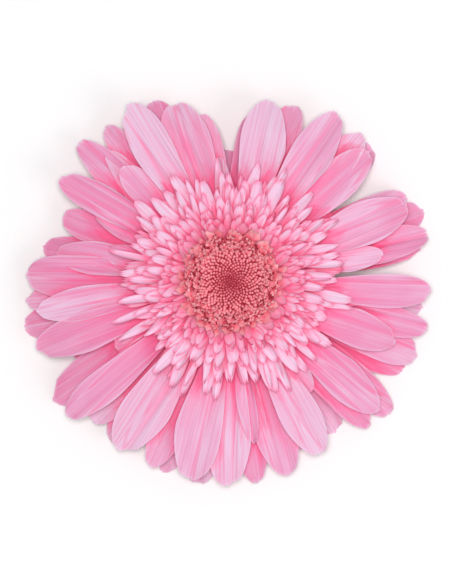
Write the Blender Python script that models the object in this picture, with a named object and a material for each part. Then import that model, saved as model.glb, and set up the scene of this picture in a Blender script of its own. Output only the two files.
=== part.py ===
"""A cut gerbera bloom, lying on its back on a flat surface with its face up.

Metres, +Z up. The origin lies on the surface under the middle of the bloom's outline. Angles round the
bloom are clock azimuths in degrees: 0 is +Y, and they grow towards +X.

Run it with blender --background --python part.py, or from Blender's text editor.
"""

import math
import random
from collections import namedtuple

import bmesh
import bpy
from mathutils import Matrix, Vector

MM = 0.001

# Driving dimensions, in millimetres.
RAY_REACH = 54.0  # from the bloom's axis to the tip of a full ray floret
RAY_WIDTH = 12.0  # across a full ray floret
RAY_THICKNESS = 0.75
TRANS_THICKNESS = 0.75
NARROW_WIDTH = 3.7  # a blade narrower than this is flat across
DISC_RADIUS = 13.6  # to the outermost open disc florets
STEM_RADIUS = 3.6
STEM_LENGTH = 3.6
NODE_GAP = 0.3  # between neighbouring pieces

# Heights above the surface, stacked from the stem up.
CUP_BASE = STEM_LENGTH + NODE_GAP
CUP_TOP = CUP_BASE + 8.4
RAY_CORE_BASE = CUP_TOP + NODE_GAP
RAY_CORE_TOP = RAY_CORE_BASE + 4.4
TRANS_CORE_BASE = RAY_CORE_TOP + NODE_GAP
TRANS_CORE_TOP = TRANS_CORE_BASE + 4.5
DISC_BASE = TRANS_CORE_TOP + NODE_GAP
DISC_EDGE_TOP = DISC_BASE + 1.9
DISC_SINK = 0.9  # how far the middle of the disc lies below its edge

CUP_RADIUS = 13.4
RAY_CORE_RADIUS = 13.4
TRANS_CORE_RADIUS = 12.4
DISC_CORE_RADIUS = 12.0

# How many sides the turned solids have.
STEM_SIDES = 20
CUP_SIDES = 20
RAY_CORE_SIDES = 18
TRANS_CORE_SIDES = 16
DISC_SIDES = 15

STEM_FLARE = 1.14  # how much wider the stub is where it meets the cup
CUP_FOOT = 0.8  # how far the cup's underside reaches past the stem
CUP_FLARE = ((0.62, 0.18), (0.86, 0.45), (0.97, 0.70))  # shares of the cup's radius and of its depth
CUP_RIM = 0.8  # height of the chamfer round the cup's rim

# Ray florets: (clock azimuth of the tip, reach as a share of RAY_REACH, width as a share of RAY_WIDTH).
# They hang together in bunches with partings between them, so they don't follow an even pitch.
UPPER_RAYS = (
    (13, 0.94, 1.10), (32, 1.01, 1.00), (47, 0.95, 0.93), (66, 0.97, 1.05), (93, 1.01, 0.80),
    (110, 0.89, 0.90), (130, 0.99, 0.95), (152, 0.98, 0.95), (180, 1.02, 0.95), (193, 1.01, 1.10),
    (213, 1.02, 1.15), (230, 1.07, 0.80), (251, 1.04, 0.95), (262, 0.99, 0.80), (280, 0.90, 0.80),
    (302, 1.00, 0.75), (316, 0.91, 0.65), (329, 1.03, 0.95), (343, 0.95, 1.10),
)
MIDDLE_RAYS = (
    (20, 0.95, 0.80), (40, 0.99, 0.90), (76, 1.02, 0.85), (104, 1.02, 0.70), (135, 1.02, 0.75),
    (164, 1.01, 1.00), (172, 1.03, 0.80), (204, 1.01, 0.85), (224, 1.00, 0.75), (271, 1.04, 1.00),
    (292, 0.91, 0.75), (312, 1.04, 0.80), (321, 1.01, 0.75), (349, 0.86, 0.80),
)
LOWER_RAYS = (
    (9, 0.87, 0.75), (26, 0.80, 0.90), (45, 0.99, 0.95), (64, 0.99, 0.85), (70, 1.05, 0.90),
    (80, 0.97, 0.50), (98, 0.99, 0.70), (111, 1.02, 0.90), (118, 0.98, 0.75), (130, 1.05, 0.95),
    (145, 0.93, 0.85), (158, 0.93, 0.90), (183, 1.01, 0.80), (189, 1.04, 0.85), (200, 1.03, 0.85),
    (217, 1.01, 0.85), (237, 1.08, 0.95), (246, 0.89, 0.90), (258, 1.08, 0.90), (266, 1.04, 0.80),
    (281, 0.97, 0.70), (289, 0.86, 0.70), (299, 0.84, 0.70), (337, 1.00, 0.85), (357, 0.68, 0.90),
)
SHORT_RAYS = (
    (30, 0.64, 0.50), (54, 0.62, 0.60), (79, 0.78, 0.60), (98, 0.70, 0.45), (146, 0.69, 0.70),
    (173, 0.82, 0.45), (178, 0.69, 0.65), (196, 0.70, 0.35), (232, 0.79, 0.60), (240, 0.67, 0.60),
    (261, 0.78, 0.60), (284, 0.64, 0.60), (296, 0.76, 0.55), (318, 0.79, 0.75), (352, 0.64, 0.60),
)
POINTED_RAYS = (32, 66, 110, 130, 173, 262, 280, 296, 316)
SWEPT_RAYS = {284: 14, 316: 12}  # florets that swing round the bloom, and by how many degrees

# Layers of ray florets: azimuths, root and tip heights, how far the heights vary, and where along its
# length a floret reaches its full width.
Layer = namedtuple("Layer", "rays root_height tip_height spread arch roll_spread claw_end")
RAY_LAYERS = (
    Layer(LOWER_RAYS, RAY_CORE_BASE + 1.0, 1.5, 1.5, 1.0, 6, 0.55),
    Layer(MIDDLE_RAYS, RAY_CORE_BASE + 1.9, 5.8, 0.8, 1.6, 6, 0.65),
    Layer(UPPER_RAYS, RAY_CORE_BASE + 2.7, 9.4, 0.9, 2.2, 5, 0.80),
    Layer(SHORT_RAYS, RAY_CORE_BASE + 3.5, RAY_CORE_BASE + 0.4, 0.4, 1.0, 6, 0.80),
)
RAY_SEED = 20

# Rows of trans florets: count, reach, width, root and tip heights, and how much each varies.
Row = namedtuple(
    "Row", "count reach reach_spread width root_height tip_height height_spread arch roll_spread seed"
)
TRANS_ROWS = (
    Row(26, 30.5, 2.6, 4.6, TRANS_CORE_BASE + 0.6, TRANS_CORE_BASE + 1.4, 0.7, 1.6, 9, 16),
    Row(24, 25.6, 1.8, 4.0, TRANS_CORE_BASE + 1.5, TRANS_CORE_BASE + 3.1, 0.6, 1.3, 10, 12),
    Row(22, 21.6, 1.4, 3.5, TRANS_CORE_BASE + 2.5, TRANS_CORE_BASE + 4.8, 0.6, 0.9, 12, 13),
    Row(20, 18.2, 0.9, 2.9, TRANS_CORE_BASE + 3.4, TRANS_CORE_BASE + 5.6, 0.4, 0.2, 10, 14),
)

# The outline of a floret: shares of its length or of its full width.
RAY_CLAW = 0.32  # width at the root
TRANS_CLAW = 0.42
TRANS_CLAW_END = 0.80  # where a trans floret reaches its full width
TIP_START = 0.66  # where the tip begins to close in
ROUND_TIP = 3.2  # power of the tip's curve, higher for a blunter tip
POINTED_TIP = 1.6
TRANS_TIP = 2.4
ROUND_END = 0.3  # width of the very end
POINTED_END = 0.15
TRANS_END = 0.45
ROOT_SINK = 3.0  # how deep the roots lie in the core
RAY_STATIONS = (0, 0.36, 0.68, 0.90, 1.0)  # where a blade's cross rows lie, as shares of its length
TRANS_STATIONS = (0, 0.72, 1.0)

# Disc florets: rings of open ones at the edge, then closed buds in a golden spiral.
OPEN_RINGS = ((30, 12.1), (24, 10.3))
OPEN_FLORET_WIDTH = 2.5
BUD_COUNT = 52
BUD_REACH = 9.0
BUD_WIDTH = 2.0
KNOB_SINK = 0.6  # how deep the florets' roots lie under the disc's top
KNOB_PEAK = 0.35  # height of a floret's pointed end, as a share of its width
GOLDEN_ANGLE = 137.508
DISC_SEED = 31

# Bracts of the involucre: how many, where their roots and tips lie, and how far a row is turned.
BractRow = namedtuple("BractRow", "count root_height tip_height root_radius tip_radius width offset")
BRACT_ROWS = (
    BractRow(12, CUP_BASE + 0.6, CUP_BASE + 5.2, 5.6, 13.6, 3.6, 0.0),
    BractRow(15, CUP_BASE + 2.4, CUP_BASE + 7.0, 10.4, 16.2, 3.4, 0.5),
)
BRACT_THICKNESS = 1.0
BRACT_BULGE = 0.6
BRACT_SINK = 1.2
BRACT_TIP_WIDTH = 0.7
BRACT_SEED = 5

SHARP_ANGLE = 35  # degrees between faces above which an edge isn't shaded smooth

Floret = namedtuple(
    "Floret",
    "azimuth lean root reach root_height tip_height arch width claw claw_end tip end roll cup thickness",
)


def clock_point(azimuth, radius, height):
    """The point at a clock azimuth and a radius from the bloom's axis, in millimetres."""
    turn = math.radians(azimuth)
    return Vector((radius * math.sin(turn), radius * math.cos(turn), height))


def smooth(share):
    """Rises from 0 to 1 with level ends."""
    share = min(max(share, 0.0), 1.0)
    return share * share * (3 - 2 * share)


# Where the florets are


def ray_florets():
    """The long outer florets, layer by layer, and the short ones on top."""
    draw = random.Random(RAY_SEED)
    florets = []
    for layer in RAY_LAYERS:
        for index, (azimuth, reach, width) in enumerate(layer.rays):
            lift = layer.spread if index % 2 else -layer.spread
            lean = draw.uniform(-4, 4)
            pointed = azimuth in POINTED_RAYS
            florets.append(
                Floret(
                    azimuth=azimuth,
                    lean=SWEPT_RAYS.get(azimuth, lean),
                    root=RAY_CORE_RADIUS - ROOT_SINK,
                    reach=reach * RAY_REACH,
                    root_height=layer.root_height,
                    tip_height=layer.tip_height + lift * draw.uniform(0.6, 1.2),
                    arch=layer.arch * draw.uniform(0.7, 1.3),
                    width=width * RAY_WIDTH,
                    claw=RAY_CLAW,
                    claw_end=layer.claw_end,
                    tip=POINTED_TIP if pointed else ROUND_TIP,
                    end=POINTED_END if pointed else ROUND_END,
                    roll=draw.uniform(-1, 1) * layer.roll_spread,
                    cup=draw.uniform(0.4, 1.0),
                    thickness=RAY_THICKNESS,
                )
            )
    return florets


def row_of_florets(row, root, thickness):
    """One ring of florets at an even pitch, each a little out of line."""
    draw = random.Random(row.seed)
    pitch = 360 / row.count
    return [
        Floret(
            azimuth=(index + draw.uniform(-0.32, 0.32)) * pitch,
            lean=draw.uniform(-7, 7),
            root=root,
            reach=row.reach + draw.uniform(-1, 1) * row.reach_spread,
            root_height=row.root_height,
            tip_height=row.tip_height + draw.uniform(-1, 1) * row.height_spread,
            arch=row.arch * draw.uniform(0.7, 1.3),
            width=row.width * draw.uniform(0.85, 1.15),
            claw=TRANS_CLAW,
            claw_end=TRANS_CLAW_END,
            tip=TRANS_TIP,
            end=TRANS_END,
            roll=draw.uniform(-1, 1) * row.roll_spread,
            cup=draw.uniform(0.2, 0.7),
            thickness=thickness,
        )
        for index in range(row.count)
    ]


# The form of one floret


def half_width(floret, along):
    """Half the blade's width: a narrow claw, widest past the middle, and a tip that closes in."""
    half = 0.5 * floret.width * (floret.claw + (1 - floret.claw) * smooth(along / floret.claw_end))
    past = max(0.0, (along - TIP_START) / (1 - TIP_START))
    return half * math.sqrt(max(1 - past**floret.tip, floret.end**2))


def centre_line(floret, along):
    """The middle of the blade: it rises over an arch, falls to the tip, and swings sideways."""
    azimuth = floret.azimuth - floret.lean * (1 - along) ** 2
    radius = floret.root + (floret.reach - floret.root) * along
    fall = (floret.tip_height - floret.root_height) * max(along, 0.0) ** 1.5
    rise = floret.arch * 4 * along * (1 - along)
    return clock_point(azimuth, radius, floret.root_height + rise + fall)


def blade_rows(floret, stations, columns):
    """Rows of (point, normal) on the blade's middle surface, from its root to its tip."""
    rows = []
    for along in stations:
        middle = centre_line(floret, along)
        tangent = (centre_line(floret, along + 0.01) - centre_line(floret, along - 0.01)).normalized()
        side = tangent.cross(Vector((0, 0, 1))).normalized()
        side = Matrix.Rotation(math.radians(floret.roll * along), 3, tangent) @ side
        normal = side.cross(tangent)
        row = []
        for across in columns:
            lift = floret.cup * (across * across - 0.4) * smooth(along * 3)
            point = middle + side * across * half_width(floret, along) + normal * lift
            point.z = max(point.z, floret.thickness / 2)
            row.append((point, normal))
        rows.append(row)
    return rows


# Meshes


def add_blade(mesh, rows, thickness):
    """A closed blade: the same triangles on its upper and lower faces, and a wall round its edge."""
    upper = [[mesh.verts.new((p + n * thickness / 2) * MM) for p, n in row] for row in rows]
    lower = [[mesh.verts.new((p - n * thickness / 2) * MM) for p, n in row] for row in rows]
    last_row = len(rows) - 1
    last_column = len(rows[0]) - 1
    for i in range(last_row):
        for j in range(last_column):
            for face, turned in ((upper, False), (lower, True)):
                a, b, c, d = face[i][j], face[i + 1][j], face[i + 1][j + 1], face[i][j + 1]
                for corners in ((a, b, c), (a, c, d)):
                    mesh.faces.new(corners[::-1] if turned else corners)
    rim = [(i, 0) for i in range(last_row)]
    rim += [(last_row, j) for j in range(last_column)]
    rim += [(i, last_column) for i in range(last_row, 0, -1)]
    rim += [(0, j) for j in range(last_column, 0, -1)]
    for (i, j), (k, m) in zip(rim, rim[1:] + rim[:1]):
        mesh.faces.new((upper[k][m], upper[i][j], lower[i][j], lower[k][m]))


def new_object(name, mesh):
    """A scene object made from a bmesh, with its faces turned out."""
    bmesh.ops.recalc_face_normals(mesh, faces=mesh.faces)
    data = bpy.data.meshes.new(name)
    mesh.to_mesh(data)
    mesh.free()
    obj = bpy.data.objects.new(name, data)
    bpy.context.scene.collection.objects.link(obj)
    return obj


def blade_object(floret, stations, columns=(-1, 0, 1)):
    mesh = bmesh.new()
    add_blade(mesh, blade_rows(floret, stations, columns), floret.thickness)
    return new_object("blade", mesh)


def turned_object(name, profile, sides):
    """A solid turned round the bloom's axis from (radius, height) points, bottom to top."""
    mesh = bmesh.new()
    rings = [
        [mesh.verts.new(clock_point(360 * k / sides, radius, height) * MM) for k in range(sides)]
        for radius, height in profile
    ]
    for low, high in zip(rings, rings[1:]):
        for k in range(sides):
            mesh.faces.new((low[k], low[k - 1], high[k - 1], high[k]))
    mesh.faces.new(rings[0])
    mesh.faces.new(rings[-1][::-1])
    return new_object(name, mesh)


def fuse(core, repeats):
    """Joins the repeats to the core in one body, and removes their objects."""
    group = bpy.data.collections.new("repeats")
    bpy.context.scene.collection.children.link(group)
    for obj in repeats:
        bpy.context.scene.collection.objects.unlink(obj)
        group.objects.link(obj)
    union = core.modifiers.new("union", "BOOLEAN")
    union.operation = "UNION"
    union.operand_type = "COLLECTION"
    union.collection = group
    union.solver = "MANIFOLD"
    fused = bpy.data.meshes.new_from_object(core.evaluated_get(bpy.context.evaluated_depsgraph_get()))
    core.modifiers.clear()
    core.data = fused
    keep_outer_shell(fused)
    for obj in list(group.objects):
        bpy.data.objects.remove(obj)
    bpy.data.collections.remove(group)


def keep_outer_shell(data):
    """Keeps the largest shell, which fills the hollows that the repeats seal and drops loose scraps."""
    mesh = bmesh.new()
    mesh.from_mesh(data)
    left = set(mesh.faces)
    shells = []
    while left:
        shell = {left.pop()}
        edge_of_shell = list(shell)
        while edge_of_shell:
            face = edge_of_shell.pop()
            edges = [edge for edge in face.edges if len(edge.link_faces) == 2]
            beside = {other for edge in edges for other in edge.link_faces} - shell
            shell |= beside
            edge_of_shell += beside
        left -= shell
        shells.append(shell)
    outer = max(shells, key=len)
    bmesh.ops.delete(mesh, geom=[face for face in mesh.faces if face not in outer], context="FACES")
    mesh.to_mesh(data)
    mesh.free()


def finish(obj, colour, roughness):
    """Gives the object its material and shades its round faces smooth."""
    material = bpy.data.materials.new(obj.name)
    material.use_nodes = True
    shader = material.node_tree.nodes["Principled BSDF"]
    shader.inputs["Base Color"].default_value = (*colour, 1)
    shader.inputs["Roughness"].default_value = roughness
    shader.inputs["Metallic"].default_value = 0
    obj.data.materials.clear()
    obj.data.materials.append(material)
    obj.data.shade_smooth()
    obj.data.set_sharp_from_angle(angle=math.radians(SHARP_ANGLE))
    return obj


# The pieces


def make_stem():
    """The stub left on the bloom: a short round stem, a little wider where it meets the cup."""
    profile = (
        (STEM_RADIUS, 0),
        (STEM_RADIUS, STEM_LENGTH * 0.45),
        (STEM_RADIUS * STEM_FLARE, STEM_LENGTH),
    )
    return finish(turned_object("cut_stem", profile, STEM_SIDES), (0.22, 0.36, 0.10), 0.55)


def make_involucre():
    """The green cup with its two rows of pointed bracts, and the receptacle inside it."""
    depth = CUP_TOP - CUP_BASE
    profile = [(STEM_RADIUS + CUP_FOOT, CUP_BASE)]
    profile += [(CUP_RADIUS * wide, CUP_BASE + depth * high) for wide, high in CUP_FLARE]
    profile += [(CUP_RADIUS, CUP_TOP - CUP_RIM), (CUP_RADIUS - CUP_RIM, CUP_TOP)]
    cup = turned_object("involucre", profile, CUP_SIDES)
    draw = random.Random(BRACT_SEED)
    bracts = []
    for row in BRACT_ROWS:
        for index in range(row.count):
            azimuth = (index + row.offset + draw.uniform(-0.15, 0.15)) * 360 / row.count
            bracts.append(bract_object(row, azimuth, draw.uniform(-0.5, 0.5)))
    fuse(cup, bracts)
    return finish(cup, (0.16, 0.30, 0.08), 0.6)


def bract_object(row, azimuth, extra_reach):
    """A pointed bract that leaves the cup's side low down and follows it up to a free tip."""
    side = clock_point(azimuth + 90, 1, 0)
    root = clock_point(azimuth, row.root_radius - BRACT_SINK, row.root_height)
    belly_radius = (row.root_radius + row.tip_radius) / 2 + BRACT_BULGE
    belly = clock_point(azimuth, belly_radius, (row.root_height + row.tip_height) / 2)
    tip = clock_point(azimuth, row.tip_radius + extra_reach, row.tip_height)
    slope = (tip - root).normalized()
    normal = side.cross(slope)
    rows = [
        [(point + side * across * half, normal) for across in (-1, 1)]
        for point, half in ((root, row.width / 2), (belly, row.width / 2), (tip, BRACT_TIP_WIDTH / 2))
    ]
    mesh = bmesh.new()
    add_blade(mesh, rows, BRACT_THICKNESS)
    return new_object("bract", mesh)


def make_ray_florets():
    """The long pink florets, with their roots sunk in one core on the receptacle."""
    profile = ((RAY_CORE_RADIUS, RAY_CORE_BASE), (RAY_CORE_RADIUS, RAY_CORE_TOP))
    core = turned_object("ray_florets", profile, RAY_CORE_SIDES)
    fuse(core, [blade_object(floret, RAY_STATIONS) for floret in ray_florets()])
    return finish(core, (0.86, 0.36, 0.54), 0.5)


def make_trans_florets():
    """The four rows of short inner florets on their own core."""
    profile = ((TRANS_CORE_RADIUS, TRANS_CORE_BASE), (TRANS_CORE_RADIUS, TRANS_CORE_TOP))
    core = turned_object("trans_florets", profile, TRANS_CORE_SIDES)
    blades = []
    for row in TRANS_ROWS:
        columns = (-1, 0, 1) if row.width > NARROW_WIDTH else (-1, 1)
        for floret in row_of_florets(row, TRANS_CORE_RADIUS - ROOT_SINK, TRANS_THICKNESS):
            blades.append(blade_object(floret, TRANS_STATIONS, columns))
    fuse(core, blades)
    return finish(core, (0.88, 0.44, 0.58), 0.5)


def disc_top(radius):
    """Height of the disc under its florets: highest at the edge, sunk in the middle."""
    return DISC_EDGE_TOP - DISC_SINK * (1 - smooth(radius / DISC_CORE_RADIUS))


def make_disc_florets():
    """The coral disc: a sunk core, open florets round its edge and closed buds inside."""
    radii = [DISC_CORE_RADIUS * share for share in (1.0, 0.65, 0.3)]
    profile = [(DISC_CORE_RADIUS - 0.8, DISC_BASE)] + [(radius, disc_top(radius)) for radius in radii]
    core = turned_object("disc_florets", profile, DISC_SIDES)
    fuse(core, open_disc_florets() + disc_buds())
    return finish(core, (0.72, 0.17, 0.20), 0.55)


def knob(root, tip, root_width, tip_width, sides):
    """A small tapered prism from root to tip, with a pointed end."""
    axis = (tip - root).normalized()
    turn = axis.to_track_quat("Z", "Y")
    mesh = bmesh.new()
    rings = []
    for centre, width in ((root, root_width), (tip, tip_width)):
        spokes = [turn @ clock_point(360 * k / sides, width / 2, 0) for k in range(sides)]
        rings.append([mesh.verts.new((centre + spoke) * MM) for spoke in spokes])
    peak = mesh.verts.new((tip + axis * tip_width * KNOB_PEAK) * MM)
    mesh.faces.new(rings[0][::-1])
    for k in range(sides):
        mesh.faces.new((rings[0][k - 1], rings[0][k], rings[1][k], rings[1][k - 1]))
        mesh.faces.new((rings[1][k - 1], rings[1][k], peak))
    return new_object("knob", mesh)


def open_disc_florets():
    """The open florets, which lean out over the roots of the trans florets."""
    draw = random.Random(DISC_SEED)
    knobs = []
    for count, radius in OPEN_RINGS:
        for index in range(count):
            azimuth = (index + draw.uniform(-0.25, 0.25)) * 360 / count
            reach = min(radius + draw.uniform(-0.5, 0.9), DISC_RADIUS - OPEN_FLORET_WIDTH / 4)
            root = clock_point(azimuth, radius - 2.0, DISC_EDGE_TOP - KNOB_SINK)
            tip = clock_point(azimuth + draw.uniform(-4, 4), reach, DISC_EDGE_TOP + draw.uniform(0.7, 1.6))
            width = OPEN_FLORET_WIDTH * draw.uniform(0.85, 1.15)
            knobs.append(knob(root, tip, width * 0.6, width, 4))
    return knobs


def disc_buds():
    """The closed buds, smaller and lower towards the middle."""
    knobs = []
    for index in range(BUD_COUNT):
        share = math.sqrt((index + 0.5) / BUD_COUNT)
        radius = BUD_REACH * share
        width = BUD_WIDTH * (0.6 + 0.4 * share)
        root = clock_point(index * GOLDEN_ANGLE, radius * 0.96, disc_top(radius) - KNOB_SINK)
        tip = clock_point(index * GOLDEN_ANGLE, radius * 1.03, disc_top(radius) + 0.3 + 0.7 * share)
        knobs.append(knob(root, tip, width, width * 0.7, 3))
    return knobs


def centre_outline(pieces):
    """Hangs the pieces on an empty that brings the middle of the bloom's outline over the origin."""
    corners = [vertex.co for piece in pieces for vertex in piece.data.vertices]
    middle = [(min(c[k] for c in corners) + max(c[k] for c in corners)) / 2 for k in (0, 1)]
    bloom = bpy.data.objects.new("bloom", None)
    bpy.context.scene.collection.objects.link(bloom)
    bloom.location = (-middle[0], -middle[1], 0)
    for piece in pieces:
        piece.parent = bloom


def main():
    for obj in list(bpy.data.objects):
        bpy.data.objects.remove(obj)
    makers = (make_stem, make_involucre, make_ray_florets, make_trans_florets, make_disc_florets)
    centre_outline([make() for make in makers])


main()
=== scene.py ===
"""Looks of a cut gerbera bloom that lies face up on a white floor.

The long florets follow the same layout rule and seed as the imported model's solids, in millimetres, and
replace them with thin, veined blades. The ruff of short florets and the disc follow the same rows and
radii, and are denser. Angles round the bloom are clock azimuths in degrees: 0 is +Y, and they grow
towards +X.
"""

import math
import random
from collections import namedtuple

import bpy
from mathutils import Matrix, Vector
from mathutils.bvhtree import BVHTree


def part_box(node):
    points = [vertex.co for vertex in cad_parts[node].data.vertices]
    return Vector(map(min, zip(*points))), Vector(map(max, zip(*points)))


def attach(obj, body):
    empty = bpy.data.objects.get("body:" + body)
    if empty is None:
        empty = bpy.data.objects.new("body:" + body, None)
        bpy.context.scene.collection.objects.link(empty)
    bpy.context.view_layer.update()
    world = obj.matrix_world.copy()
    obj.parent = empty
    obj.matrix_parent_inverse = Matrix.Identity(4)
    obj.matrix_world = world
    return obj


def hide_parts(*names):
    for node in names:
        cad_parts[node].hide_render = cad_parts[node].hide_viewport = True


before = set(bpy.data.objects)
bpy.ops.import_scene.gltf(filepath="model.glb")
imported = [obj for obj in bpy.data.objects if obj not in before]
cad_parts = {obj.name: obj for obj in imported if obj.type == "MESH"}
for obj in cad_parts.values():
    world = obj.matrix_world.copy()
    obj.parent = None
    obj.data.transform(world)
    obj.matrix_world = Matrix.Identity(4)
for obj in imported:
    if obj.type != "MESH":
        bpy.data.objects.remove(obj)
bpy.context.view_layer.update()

MM = 0.001

# Heights above the floor and the bloom's axis, in millimetres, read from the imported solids.
NODE_GAP = 0.3
STEM_LOW, STEM_HIGH = (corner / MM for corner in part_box("cut_stem"))
STEM_LENGTH = STEM_HIGH.z
CUP_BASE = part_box("involucre")[0].z / MM
CUP_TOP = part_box("involucre")[1].z / MM
RAY_CORE_BASE = CUP_TOP + NODE_GAP
TRANS_CORE_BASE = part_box("trans_florets")[0].z / MM
DISC_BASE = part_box("disc_florets")[0].z / MM
DISC_EDGE_TOP = DISC_BASE + 1.9
AXIS = (STEM_LOW + STEM_HIGH) / 2  # the foot of the bloom's axis
AXIS.z = 0
FLOOR_CLEARANCE = 0.05

# Driving dimensions of the solids, repeated.
RAY_REACH = 54.0
RAY_WIDTH = 12.0
STEM_RADIUS = 3.6
CUP_RADIUS = 13.4
RAY_CORE_RADIUS = 13.4
TRANS_CORE_RADIUS = 12.4
DISC_CORE_RADIUS = 12.0
DISC_SINK = 0.9

STEM_FLARE = 1.14  # how much wider the stub is where it meets the cup
ROOT_SINK = 3.0  # how deep the florets' roots lie in their core
RAY_CLAW = 0.32  # width at the root, as a share of the full width
TRANS_CLAW = 0.42
TRANS_CLAW_END = 0.80  # where along its length a short floret reaches its full width
TIP_START = 0.66  # where along its length a floret's tip begins to close in
ROUND_TIP = 3.2  # power of the tip's curve, higher for a blunter tip
POINTED_TIP = 1.6
ROUND_END = 0.3  # width of the very end, as a share of the full width
POINTED_END = 0.15
TRANS_END = 0.45
GOLDEN_ANGLE = 137.508

# What only the looks have.
RAY_THICKNESS = 0.34
TRANS_THICKNESS = 0.26
LIP_THICKNESS = 0.22
BRACT_THICKNESS = 0.4
SIDE_THINNING = 0.55  # how much thinner a blade is at its sides, as a share
EDGE_START = 0.86  # where across a blade its edge colour begins: a painted highlight on the long florets, painted shade on the ruff
FULL_DEPTH = 0.16  # height of the lengthwise waves that makes their ridge value run from -1 to 1
TIP_BIAS = 0.45  # how far a lopsided tip's power differs from side to side
RAY_GRID = 46, 31  # points along a blade and across it
TRANS_GRID = 14, 9
LIP_GRID = 8, 7
BRACT_GRID = 14, 7
CORE_INSET = 0.5  # how much narrower the scene's cores are than the solids'
RAY_CORE_SIDES = 144
TRANS_CORE_SIDES = 120
DISC_SIDES = 60
CUP_SIDES = 120
STEM_SIDES = 96
SHARP_ANGLE = 60  # degrees between faces above which an edge isn't shaded smooth

# Ray florets: (clock azimuth of the tip, reach as a share of RAY_REACH, width as a share of RAY_WIDTH).
UPPER_RAYS = (
    (13, 0.94, 1.10), (32, 1.01, 1.00), (47, 0.95, 0.93), (66, 0.97, 1.05), (93, 1.01, 0.80),
    (110, 0.89, 0.90), (130, 0.99, 0.95), (152, 0.98, 0.95), (180, 1.02, 0.95), (193, 1.01, 1.10),
    (213, 1.02, 1.15), (230, 1.07, 0.80), (251, 1.04, 0.95), (262, 0.99, 0.80), (280, 0.90, 0.80),
    (302, 1.00, 0.75), (316, 0.91, 0.65), (329, 1.03, 0.95), (343, 0.95, 1.10),
)
MIDDLE_RAYS = (
    (20, 0.95, 0.80), (40, 0.99, 0.90), (76, 1.02, 0.85), (104, 1.02, 0.70), (135, 1.02, 0.75),
    (164, 1.01, 1.00), (172, 1.03, 0.80), (204, 1.01, 0.85), (224, 1.00, 0.75), (271, 1.04, 1.00),
    (292, 0.91, 0.75), (312, 1.04, 0.80), (321, 1.01, 0.75), (349, 0.86, 0.80),
)
LOWER_RAYS = (
    (9, 0.87, 0.75), (26, 0.80, 0.90), (45, 0.99, 0.95), (64, 0.99, 0.85), (70, 1.05, 0.90),
    (80, 0.97, 0.50), (98, 0.99, 0.70), (111, 1.02, 0.90), (118, 0.98, 0.75), (130, 1.05, 0.95),
    (145, 0.93, 0.85), (158, 0.93, 0.90), (183, 1.01, 0.80), (189, 1.04, 0.85), (200, 1.03, 0.85),
    (217, 1.01, 0.85), (237, 1.08, 0.95), (246, 0.89, 0.90), (258, 1.08, 0.90), (266, 1.04, 0.80),
    (281, 0.97, 0.70), (289, 0.86, 0.70), (299, 0.84, 0.70), (337, 1.00, 0.85), (357, 0.68, 0.90),
)
SHORT_RAYS = (
    (30, 0.64, 0.50), (54, 0.62, 0.60), (79, 0.78, 0.60), (98, 0.70, 0.45), (146, 0.69, 0.70),
    (173, 0.82, 0.45), (178, 0.69, 0.65), (196, 0.70, 0.35), (232, 0.79, 0.60), (240, 0.67, 0.60),
    (261, 0.78, 0.60), (284, 0.64, 0.60), (296, 0.76, 0.55), (318, 0.79, 0.75), (352, 0.64, 0.60),
)
# Some long florets, named by their azimuths, have a form or a colour of their own.
POINTED_RAYS = (32, 66, 110, 130, 173, 262, 280, 296, 316)
SWEPT_RAYS = {284: 14, 316: 12}  # they swing round the bloom, by so many degrees
FOLDED_RAYS = (32, 76, 343)
PLEATED_RAYS = (76, 80, 98, 104, 111, 118, 130, 135, 237, 258, 266, 271, 289, 302, 312)
PALE_RAYS = (13, 30, 40, 145, 152, 213, 224, 261, 316, 329, 352)
DEEP_RAYS = (9, 80, 110, 237, 246, 251, 258, 271, 281, 289, 292, 302)

# Layers of long florets: which, root and tip heights, how far the heights vary, height of the arch, how
# far the rolls vary, and where along its length a floret reaches its full width.
Layer = namedtuple("Layer", "rays root_height tip_height spread arch roll_spread claw_end")
RAY_LAYERS = (
    Layer(LOWER_RAYS, RAY_CORE_BASE + 1.0, 1.5, 1.5, 1.0, 6, 0.55),
    Layer(MIDDLE_RAYS, RAY_CORE_BASE + 1.9, 5.8, 0.8, 1.6, 6, 0.65),
    Layer(UPPER_RAYS, RAY_CORE_BASE + 2.7, 9.4, 0.9, 2.2, 5, 0.80),
    Layer(SHORT_RAYS, RAY_CORE_BASE + 3.5, RAY_CORE_BASE + 0.4, 0.4, 1.0, 6, 0.80),
)
RAY_SEED = 20
RAY_LOOK_SEED = 120

# Rows of short florets: how many, reach, width, root and tip heights, how far these vary, height of the
# arch, how far the rolls vary, and the row's seed.
Row = namedtuple(
    "Row", "count reach reach_spread width root_height tip_height height_spread arch roll_spread seed"
)
TRANS_ROWS = (
    Row(26, 30.5, 2.6, 4.6, TRANS_CORE_BASE + 0.6, TRANS_CORE_BASE + 1.4, 0.7, 1.6, 9, 16),
    Row(24, 25.6, 1.8, 4.0, TRANS_CORE_BASE + 1.5, TRANS_CORE_BASE + 3.1, 0.6, 1.3, 10, 12),
    Row(22, 21.6, 1.4, 3.5, TRANS_CORE_BASE + 2.5, TRANS_CORE_BASE + 4.8, 0.6, 0.9, 12, 13),
    Row(20, 18.2, 0.9, 2.9, TRANS_CORE_BASE + 3.4, TRANS_CORE_BASE + 5.6, 0.4, 0.2, 10, 14),
)
# The scene's ruff has more, narrower and less even florets than the solids' rows, by these factors.
RUFF_COUNT = 2.0
RUFF_WIDTH = 0.74
RUFF_SPREAD = 1.4
RUFF_ROLL = 24  # how far the rolls vary, in degrees
RUFF_LOOK_SEED = 220
HALFWAY_SEED = 50  # added to a row's seed for the row halfway to the next
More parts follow.
